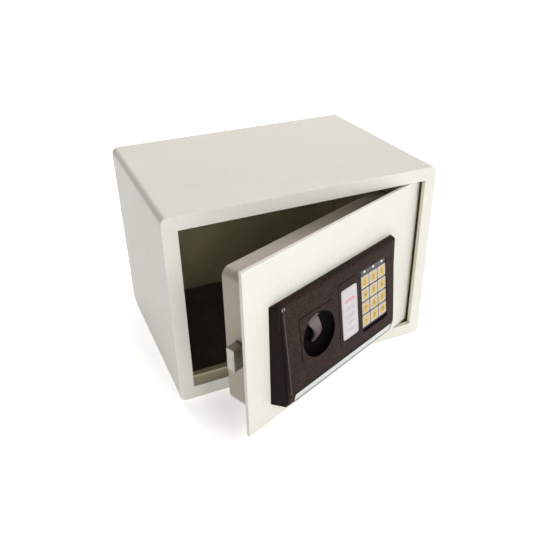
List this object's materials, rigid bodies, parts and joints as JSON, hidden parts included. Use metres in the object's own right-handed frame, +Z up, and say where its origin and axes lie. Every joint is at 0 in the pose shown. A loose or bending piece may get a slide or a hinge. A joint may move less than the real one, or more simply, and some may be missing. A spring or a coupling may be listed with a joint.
{
  "type": "in-room safe",
  "caption": "Front-opening steel room safe with a right-hung door, keypad lock panel, turning knob that throws a bolt, and a battery compartment.",
  "frame": {"origin": "centre of the cabinet's bottom face (the open door and its panel are not counted)", "axes": "+Z up, -Y out of the front, +X towards the hinge side; the door is stored open by 22.8 degrees"},
  "size_m": [0.35, 0.3614, 0.25],
  "materials": {
    "cabinet_paint": "fine textured ivory powder coat",
    "door_inner_paint": "warm grey-beige powder coat",
    "floor_felt": "needle-punched felt, near black",
    "zinc_plate": "bright zinc plate",
    "bolt_steel": "ground and plated steel",
    "brass": "turned brass",
    "buffer_rubber": "moulded rubber",
    "panel_plastic": "semi-matt black-brown moulding",
    "knob_plastic": "semi-matt black moulding with a soft sheen",
    "trim_metal": "satin anodised strip",
    "cover_pad_white": "white satin plate with a thin pink border",
    "bezel_plastic": "slate blue-grey moulding",
    "lamp_lens": "clear white lens",
    "key_plastic": "cream key with a golden disc and a dark digit",
    "board_green": "solder-masked circuit board",
    "solenoid_case": "dark coil case",
    "black_plastic": "black moulding",
    "cell_wrap": "plain printed cell wrap",
    "lead_grey": "grey flexible insulation",
    "lead_red": "red flexible insulation",
    "reset_red": "glossy red cap"
  },
  "bodies": {
    "cabinet": {"cabinet_wrap": "cabinet_paint", "back_panel": "cabinet_paint", "front_frame": "cabinet_paint", "floor_mat": "floor_felt", "hinge_bracket_lower": "cabinet_paint", "hinge_bracket_upper": "cabinet_paint", "hinge_pin_lower": "zinc_plate", "hinge_pin_upper": "zinc_plate"},
    "door": {"door_plate": "cabinet_paint", "door_pan": "door_inner_paint", "hinge_bush_lower": "brass", "hinge_bush_upper": "brass", "inner_cover": "door_inner_paint", "cover_screw_1": "zinc_plate", "cover_screw_2": "zinc_plate", "door_buffer": "buffer_rubber", "panel_housing": "panel_plastic", "trim_strip": "trim_metal", "key_cover_pad": "cover_pad_white", "keypad_bezel": "bezel_plastic", "indicator_strip": "bezel_plastic", "lamp_1": "lamp_lens", "lamp_2": "lamp_lens", "lamp_3": "lamp_lens", "key_membrane": "buffer_rubber", "keypad_board": "board_green", "bolt_guide": "zinc_plate", "solenoid": "solenoid_case", "lock_barrel": "zinc_plate", "battery_tray": "black_plastic", "battery_cell_1": "cell_wrap", "battery_cell_2": "cell_wrap", "battery_cell_3": "cell_wrap", "battery_cell_4": "cell_wrap", "control_board": "board_green", "keypad_lead": "lead_grey", "solenoid_lead": "lead_red", "plunger_spring": "zinc_plate"},
    "knob": {"knob": "knob_plastic", "crank_spindle": "zinc_plate"},
    "bolt": {"lock_bolt": "bolt_steel", "bolt_carrier": "zinc_plate"},
    "plunger": {"solenoid_plunger": "zinc_plate"},
    "emergency_plug": {"lock_plug": "brass", "lock_cam": "zinc_plate"},
    "battery_lid": {"battery_cover": "black_plastic"},
    "reset": {"reset_button": "reset_red"},
    "key_1": {"key_1": "key_plastic"},
    "key_2": {"key_2": "key_plastic"},
    "key_3": {"key_3": "key_plastic"},
    "key_4": {"key_4": "key_plastic"},
    "key_5": {"key_5": "key_plastic"},
    "key_6": {"key_6": "key_plastic"},
    "key_7": {"key_7": "key_plastic"},
    "key_8": {"key_8": "key_plastic"},
    "key_9": {"key_9": "key_plastic"},
    "key_star": {"key_star": "key_plastic"},
    "key_0": {"key_0": "key_plastic"},
    "key_hash": {"key_hash": "key_plastic"}
  },
  "joints": [
    {"name": "door_hinge", "type": "hinge", "parent": "cabinet", "child": "door", "pos_m": [0.1295, -0.11, 0.1253], "axis": [0, 0, 1], "range_deg": [-22.8, 77.2]},
    {"name": "knob_turn", "type": "hinge", "parent": "door", "child": "knob", "pos_m": [-0.03259, -0.20309, 0.1155], "axis": [0.3875, -0.9219, 0], "range_deg": [0, 73.75]},
    {"name": "bolt_slide", "type": "slide", "parent": "door", "child": "bolt", "axis": [-0.9219, -0.3875, 0], "range_m": [0, 0.012]},
    {"name": "plunger_slide", "type": "slide", "parent": "door", "child": "plunger", "axis": [0, 0, -1], "range_m": [0, 0.004], "stiffness_N_per_m": 60, "springref_m": 0.006, "deforming": ["plunger_spring"]},
    {"name": "emergency_lock_turn", "type": "hinge", "parent": "door", "child": "emergency_plug", "pos_m": [0.01798, -0.17966, 0.118], "axis": [0.3875, -0.9219, 0], "range_deg": [-90, 0]},
    {"name": "battery_cover_slide", "type": "slide", "parent": "door", "child": "battery_lid", "axis": [0.9219, 0.3875, 0], "range_m": [0, 0.01]},
    {"name": "reset_press", "type": "slide", "parent": "door", "child": "reset", "axis": [0.3875, -0.9219, 0], "range_m": [0, 0.0015], "stiffness_N_per_m": 500},
    {"name": "key_1_press", "type": "slide", "parent": "door", "child": "key_1", "axis": [-0.3852, 0.9163, -0.1093], "range_m": [0, 0.001], "stiffness_N_per_m": 400},
    {"name": "key_2_press", "type": "slide", "parent": "door", "child": "key_2", "axis": [-0.3852, 0.9163, -0.1093], "range_m": [0, 0.001], "stiffness_N_per_m": 400},
    {"name": "key_3_press", "type": "slide", "parent": "door", "child": "key_3", "axis": [-0.3852, 0.9163, -0.1093], "range_m": [0, 0.001], "stiffness_N_per_m": 400},
    {"name": "key_4_press", "type": "slide", "parent": "door", "child": "key_4", "axis": [-0.3852, 0.9163, -0.1093], "range_m": [0, 0.001], "stiffness_N_per_m": 400},
    {"name": "key_5_press", "type": "slide", "parent": "door", "child": "key_5", "axis": [-0.3852, 0.9163, -0.1093], "range_m": [0, 0.001], "stiffness_N_per_m": 400},
    {"name": "key_6_press", "type": "slide", "parent": "door", "child": "key_6", "axis": [-0.3852, 0.9163, -0.1093], "range_m": [0, 0.001], "stiffness_N_per_m": 400},
    {"name": "key_7_press", "type": "slide", "parent": "door", "child": "key_7", "axis": [-0.3852, 0.9163, -0.1093], "range_m": [0, 0.001], "stiffness_N_per_m": 400},
    {"name": "key_8_press", "type": "slide", "parent": "door", "child": "key_8", "axis": [-0.3852, 0.9163, -0.1093], "range_m": [0, 0.001], "stiffness_N_per_m": 400},
    {"name": "key_9_press", "type": "slide", "parent": "door", "child": "key_9", "axis": [-0.3852, 0.9163, -0.1093], "range_m": [0, 0.001], "stiffness_N_per_m": 400},
    {"name": "key_star_press", "type": "slide", "parent": "door", "child": "key_star", "axis": [-0.3852, 0.9163, -0.1093], "range_m": [0, 0.001], "stiffness_N_per_m": 400},
    {"name": "key_0_press", "type": "slide", "parent": "door", "child": "key_0", "axis": [-0.3852, 0.9163, -0.1093], "range_m": [0, 0.001], "stiffness_N_per_m": 400},
    {"name": "key_hash_press", "type": "slide", "parent": "door", "child": "key_hash", "axis": [-0.3852, 0.9163, -0.1093], "range_m": [0, 0.001], "stiffness_N_per_m": 400}
  ],
  "couplings": [
    {"joint": "knob_turn", "follows": "bolt_slide", "rad_per_m": 107.25}
  ]
}
